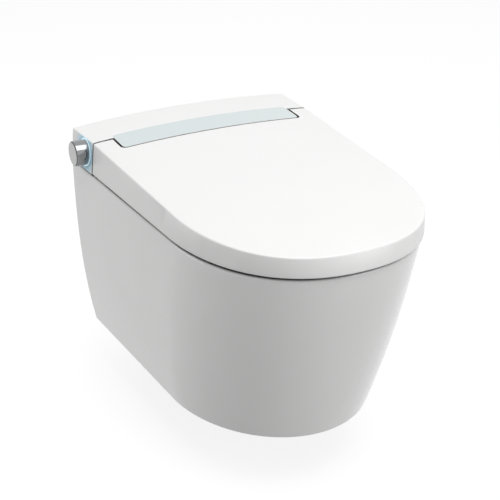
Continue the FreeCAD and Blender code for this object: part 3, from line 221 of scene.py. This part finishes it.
# Water parts: a machined brass inlet, then valve, heater and pump in plastic cases, joined by rubber hoses.
# All of them are screwed or clipped to the base plate under the cover.
brass, shade, shader = finish("machined_brass", {"Metallic": 1.0})
turned = shade.noise(200, 3, (1, 14, 1))
feed(shade, shader, {
    "Base Color": shade.blend(turned, (0.62, 0.43, 0.17, 1), (0.78, 0.58, 0.27, 1)),
    "Roughness": 0.2 + 0.2 * turned,
    "Normal": shade.bump(turned, 0.15, 0.0001),
})
dress(brass, "inlet_fitting")
dress(pale_nylon, "inlet_valve", "water_heater")
dress(dark_plastic, "water_pump")
dress(black_rubber, "water_hoses")


# Warm-air dryer and deodoriser: a drum fan with a steel motor blows through a dark duct to a white flap.
# The filter cartridge beside it is a pale moulded case.
dress(dark_plastic, "fan_housing", "dryer_duct")
dress(satin_steel, "fan_motor")
dress(pale_nylon, "fan_impeller", "dryer_flap", "deodoriser_filter")


# Control board: green circuit board with copper tracks under its lacquer, standing on the base plate.
# The mains cable enters at the back through a black rubber gland.
circuit_green, shade, shader = finish("circuit_green", {})
track = shade.node("ShaderNodeTexBrick", {}, {
    "Vector": shade.place(), "Scale": 160.0, "Mortar Size": 0.06,
    "Color1": (0.008, 0.075, 0.03, 1), "Color2": (0.012, 0.10, 0.04, 1), "Mortar": (0.03, 0.20, 0.08, 1)})
feed(shade, shader, {"Base Color": track, "Roughness": 0.3 + 0.2 * shade.noise(90)})
dress(circuit_green, "control_board", "display_board")
dress(black_rubber, "power_gland")


# Rear cover: white plastic moulding with a satin gloss, screwed to the base plate with steel screws.
# A plate let into its front has the nozzle's port. Round the knob, the ring's pale blue light is painted
# on its left side, as a blue colour and a weak glow.
def white_moulding(name):
    """Satin white plastic, with the Shade and the colour, with painted gap shade, that its section goes on
    with.
    """
    material, shade, shader = finish(name, {"IOR": 1.49})
    cloud = shade.noise(6, 2)
    grain = shade.noise(1100, 2)
    feed(shade, shader, {
        "Roughness": 0.26 + 0.08 * cloud + 0.05 * grain,
        "Normal": shade.bump(grain, 0.03, 0.0001),
    })
    # Painted shade: the white is darkened deep in the narrow gaps between pieces.
    surface_colour = shade.with_painted_gap_shade(shade.blend(cloud, (0.885, 0.885, 0.88, 1), (0.915, 0.915, 0.91, 1)))
    return material, shade, shader, surface_colour


knob_low, knob_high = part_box("knob_cap")
knob_middle = (knob_low + knob_high) / 2
cover_plastic, shade, shader, surface_colour = white_moulding("cover_plastic")
# Painted light: the ring's blue light on the cover's left side, fading out between these distances from the
# knob.
painted_glow_start = 0.024
painted_glow_end = 0.043
away = shade.node("ShaderNodeVectorMath", {"operation": "DISTANCE"}, {0: shade.place(), 1: knob_middle},
                  "Value")
normal = shade.node("ShaderNodeNewGeometry", {}, {}, "True Normal")
to_the_right = shade.node("ShaderNodeSeparateXYZ", {}, {"Vector": normal}, "X")
on_left_side = shade.ramp(to_the_right, -0.95, -0.6)
painted_ring_glow = shade.ramp(away, painted_glow_start, painted_glow_end) * on_left_side
# The painted blue glow also gets the painted gap shade; the emission is a painted glow, not a lamp.
feed(shade, shader, {
    "Base Color": shade.blend(painted_ring_glow, surface_colour, shade.with_painted_gap_shade((0.46, 0.68, 0.80, 1))),
    "Emission Color": shade.blend(painted_ring_glow, (0, 0, 0, 1), (0.02, 0.06, 0.085, 1)),
})
shader.inputs["Emission Strength"].default_value = 1.0
dress(cover_plastic, "rear_cover", "nozzle_shield")
dress(satin_steel, "cover_screws")


# Soft-close dampers and hinge pins: dark damper cartridges in the cover's ends hold steel pins.
# The pins turn in pale nylon bushes pressed into the lid and the seat.
dress(dark_plastic, "lid_damper", "seat_damper")
dress(satin_steel, "lid_shaft", "seat_shaft")
dress(pale_nylon, "lid_bush", "seat_bush")


# Glass panel: a strip of toughened glass, painted pale grey-blue on its back and glued on the cover's tongue.
# The display lies under it and is dark when off.
panel_glass, shade, shader = finish("panel_glass", {"IOR": 1.52, "Coat Roughness": 0.02})
cloud = shade.noise(5, 2)
# Painted shade: the panel's colour is darkened deep in the narrow gaps round its ends and front.
feed(shade, shader, {
    "Base Color": shade.with_painted_gap_shade(shade.blend(cloud, (0.64, 0.72, 0.73, 1), (0.69, 0.765, 0.77, 1))),
    "Roughness": 0.05 + 0.05 * cloud,
    "Coat Weight": 0.3 + 0.2 * cloud,
})
dress(panel_glass, "glass_panel")


# Light ring: a translucent ring let into the cover that shines pale blue round the knob.
# The encoder behind it is a small dark case.
ring_light, shade, shader = finish("ring_light", {"Emission Strength": 0.5, "Roughness": 0.35})
cloud = shade.noise(120)
feed(shade, shader, {
    "Base Color": shade.blend(cloud, (0.66, 0.84, 0.90, 1), (0.74, 0.90, 0.95, 1)),
    "Emission Color": shade.blend(cloud, (0.62, 0.88, 1.0, 1), (0.72, 0.92, 1.0, 1)),
})
dress(ring_light, "light_ring")
dress(dark_plastic, "encoder_body")


# Knob: a hollow cap turned from metal bar and pressed on the encoder's steel pin, which pushes in and turns.
# Its face is brushed in circles, the edge chamfer has a painted dark reflection and the side is polished.
knob_radius = (knob_high.z - knob_low.z) / 2
knob_length = knob_high.x - knob_low.x
knob_chamfer = 0.0016
knob_easing = 0.00025
knob_wall = 0.002
hub_radius = 0.006
pin_radius = 0.00252
face_radius = knob_radius - knob_chamfer
inner_radius = knob_radius - knob_wall
inner_length = knob_length - knob_wall
profile = [(0, knob_length), (face_radius, knob_length), (knob_radius, knob_length - knob_chamfer),
           (knob_radius, 0), (inner_radius, 0), (inner_radius, inner_length), (hub_radius, inner_length),
           (hub_radius, 0), (pin_radius, 0), (pin_radius, inner_length), (0, inner_length)]
bm = bmesh.new()
corners = [bm.verts.new((radius, 0, height)) for radius, height in profile]
for first, second in zip(corners, corners[1:]):
    bm.edges.new((first, second))
bmesh.ops.spin(bm, geom=bm.verts[:] + bm.edges[:], axis=(0, 0, 1), cent=(0, 0, 0),
               angle=2 * math.pi, steps=96, use_merge=True)
bmesh.ops.remove_doubles(bm, verts=bm.verts, dist=weld_distance)
bmesh.ops.recalc_face_normals(bm, faces=bm.faces)
rims = [edge for edge in bm.edges if edge.is_manifold and edge.calc_face_angle() > math.radians(30)
        and all(vert.co.xy.length > knob_radius - 1.2 * knob_chamfer for vert in edge.verts)]
bmesh.ops.bevel(bm, geom=rims, offset=knob_easing, offset_type="OFFSET", segments=3, profile=0.5,
                affect="EDGES", material=-1)
bmesh.ops.rotate(bm, verts=bm.verts, cent=(0, 0, 0), matrix=Matrix.Rotation(-math.pi / 2, 3, "Y"))
bmesh.ops.translate(bm, verts=bm.verts, vec=(knob_high.x, knob_middle.y, knob_middle.z))
for face in bm.faces:
    face.smooth = True
knob_mesh = bpy.data.meshes.new("knob")
bm.to_mesh(knob_mesh)
bm.free()
knob = bpy.data.objects.new("knob", knob_mesh)
bpy.context.scene.collection.objects.link(knob)
knob_split = knob.modifiers.new("hard_edges", "EDGE_SPLIT")
knob_split.split_angle = hard_edge
knob_metal, shade, shader = finish("brushed_metal", {"Metallic": 1.0})
centred = shade.node("ShaderNodeMapping", {}, {"Vector": shade.place(), "Scale": (0, 1, 1),
                                              "Location": (0, -knob_middle.y, -knob_middle.z)})
from_axis = shade.node("ShaderNodeVectorMath", {"operation": "LENGTH"}, {0: centred}, "Value")
ring = shade.node("ShaderNodeTexNoise", {"noise_dimensions": "1D"},
                  {"W": from_axis, "Scale": 2600.0, "Detail": 4.0})
fade = 0.0002
on_face = shade.ramp(from_axis, face_radius - fade, face_radius)
# Painted reflection: the chamfer between face and side is coloured dark in place of the dark reflection it
# shows.
painted_dark_chamfer = shade.ramp(from_axis, knob_radius - 2 * fade, knob_radius - fade)
brushed = shade.blend(ring, (0.32, 0.32, 0.32, 1), (0.52, 0.52, 0.52, 1))
polished_with_painted_chamfer = shade.blend(painted_dark_chamfer, (0.30, 0.31, 0.32, 1), (0.10, 0.10, 0.10, 1))
feed(shade, shader, {
    "Base Color": shade.blend(on_face, polished_with_painted_chamfer, brushed),
    "Roughness": 0.12 + 0.24 * on_face,
    "Normal": shade.bump(ring * on_face, 0.12, 0.0001),
})
knob_mesh.materials.append(knob_metal)
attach(knob, "knob")
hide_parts("knob_cap")
dress(satin_steel, "knob_shaft")
dress(pale_nylon, "knob_bush")


# Seat: a white moulded shell welded to a base, with a foil heater between them and soft pads below.
# It turns on the hinge pins and rests on the pan through its pads.
white_plastic, shade, shader, surface_colour = white_moulding("white_plastic")
# This colour carries the painted gap shade, dark in the narrow gaps between seat, lid and pan.
feed(shade, shader, {"Base Color": surface_colour})
dress(white_plastic, "seat_shell", "seat_base")

heater_foil, shade, shader = finish("heater_foil", {"Metallic": 1.0})
crease = shade.noise(70, 5)
feed(shade, shader, {
    "Base Color": shade.blend(crease, (0.62, 0.62, 0.63, 1), (0.80, 0.80, 0.81, 1)),
    "Roughness": 0.25 + 0.3 * crease,
    "Normal": shade.bump(crease, 0.3, 0.0004),
})
dress(heater_foil, "seat_heater")

white_pad, shade, shader = finish("white_pad", {"Specular IOR Level": 0.3})
cloud = shade.noise(80)
feed(shade, shader, {
    "Base Color": shade.blend(cloud, (0.70, 0.70, 0.69, 1), (0.78, 0.78, 0.77, 1)),
    "Roughness": 0.55 + 0.25 * cloud,
    "Normal": shade.bump(shade.noise(800), 0.15, 0.0002),
})
dress(white_pad, "seat_bumpers")


# Lid: a thick white moulding with a deep rim that closes over the seat, in the same satin plastic.
# Small soft pads under it keep it off the seat.
dress(white_plastic, "lid_shell")
dress(white_pad, "lid_bumpers")


# Floor: a plain pale sheet far larger than the view, a hand's width below the pan, which hangs on a wall.
# To the eye and in reflections it is white, and it keeps the pan's shadow.
floor_drop = 0.10
floor_size = 30.0
bm = bmesh.new()
bmesh.ops.create_grid(bm, x_segments=1, y_segments=1, size=floor_size / 2)
bmesh.ops.translate(bm, verts=bm.verts, vec=(0, 0, cad_box[0].z - floor_drop))
floor_mesh = bpy.data.meshes.new("floor")
bm.to_mesh(floor_mesh)
bm.free()
floor = bpy.data.objects.new("floor", floor_mesh)
bpy.context.scene.collection.objects.link(floor)


def seen_directly(shade):
    """1 for what the camera, a mirror or clear glass shows, and 0 for light that falls on the object."""
    rays = [shade.node("ShaderNodeLightPath", {}, {}, "Is %s Ray" % kind)
            for kind in ("Camera", "Glossy", "Transmission")]
    return shade.maths("MAXIMUM", shade.maths("MAXIMUM", rays[0], rays[1]), rays[2])


floor_white, shade, shader = finish("floor_white", {"Base Color": (0.30, 0.30, 0.30, 1), "Roughness": 0.9,
                                                   "Specular IOR Level": 0.0, "Emission Strength": 1.0})
feed(shade, shader, {
    "Emission Color": shade.blend(seen_directly(shade), (0, 0, 0, 1), (0.80, 0.80, 0.80, 1)),
})
floor_mesh.materials.append(floor_white)


# Studio light: an even white surround, a large soft lamp high in front, and two weak ones behind left and
# front right. The corner between them is left a little darker, which rounds the pan.
world = bpy.data.worlds.new("studio")
world.use_nodes = True
bpy.context.scene.world = world
shade = Shade(world.node_tree)
feed(shade, world.node_tree.nodes["Background"],
     {"Color": shade.blend(seen_directly(shade), (0.50, 0.50, 0.50, 1), (1, 1, 1, 1))})


def softbox(name, place, aim, size, power):
    """A square area lamp at a place, turned to a point."""
    lamp = bpy.data.lights.new(name, "AREA")
    lamp.size = size
    lamp.energy = power
    lamp_object = bpy.data.objects.new(name, lamp)
    lamp_object.location = place
    lamp_object.rotation_euler = (Vector(aim) - Vector(place)).to_track_quat("-Z", "Y").to_euler()
    bpy.context.scene.collection.objects.link(lamp_object)


softbox("overhead", place=(0.0, -1.0, 2.3), aim=(0, -0.3, 0), size=2.0, power=32)
softbox("behind_left", place=(-1.9, 1.1, 0.4), aim=(0, -0.2, 0), size=1.2, power=7)
softbox("front_right", place=(1.2, -2.3, 0.4), aim=(0, -0.3, 0), size=1.2, power=11)


# Camera at the photograph's angle: a long lens from the front left, above the rim.
# It stands almost two metres off, so the far edges draw together only a little.
camera = bpy.data.cameras.new("camera")
camera.lens = 86.4
camera.sensor_width = 36.0
camera_object = bpy.data.objects.new("camera", camera)
camera_object.location = (-0.7759, -1.7367, 0.7842)
camera_object.rotation_euler = Vector((0.41784, 0.80198, -0.42688)).to_track_quat("-Z", "Y").to_euler()
bpy.context.scene.collection.objects.link(camera_object)
bpy.context.scene.camera = camera_object
bpy.context.scene.view_settings.view_transform = "Standard"
